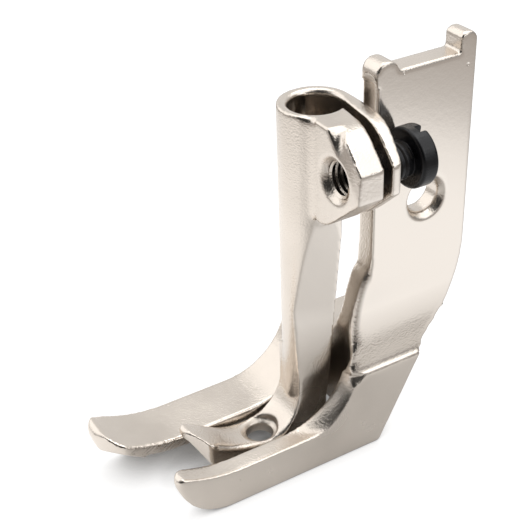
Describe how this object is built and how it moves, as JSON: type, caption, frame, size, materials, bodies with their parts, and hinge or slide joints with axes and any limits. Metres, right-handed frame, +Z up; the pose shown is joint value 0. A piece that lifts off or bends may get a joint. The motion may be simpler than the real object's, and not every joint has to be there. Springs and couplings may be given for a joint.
{
  "type": "sewing machine presser foot",
  "caption": "Walking presser foot set for piping: an outer foot with a flat shank, a grooved wide toe and a narrow toe, an inner foot with a split clamp tube, and its clamp screw.",
  "frame": {"origin": "under the middle of the set's bounding box, on the plane that the soles stand on", "axes": "+Z up along the shank and the clamp tube, toes point along -Y, +X towards the narrow toe and the clamp ears"},
  "size_m": [0.0216, 0.0461, 0.0507],
  "materials": {
    "nickel_plate": "satin nickel plated",
    "black_steel": "glossy black oxide"
  },
  "bodies": {
    "outer_foot": {"outer_foot": "nickel_plate"},
    "inner_foot": {"inner_foot": "nickel_plate"},
    "clamp_screw": {"clamp_screw": "black_steel"}
  },
  "joints": [
    {"name": "inner_foot_lift", "type": "slide", "parent": "outer_foot", "child": "inner_foot", "axis": [0, 0, 1], "range_m": [0, 0.006]},
    {"name": "clamp_screw_turn", "type": "hinge", "parent": "inner_foot", "child": "clamp_screw", "pos_m": [0.00643, 0.00795, 0.0402], "axis": [0, 1, 0], "range_deg": [-1300, 600]}
  ]
}
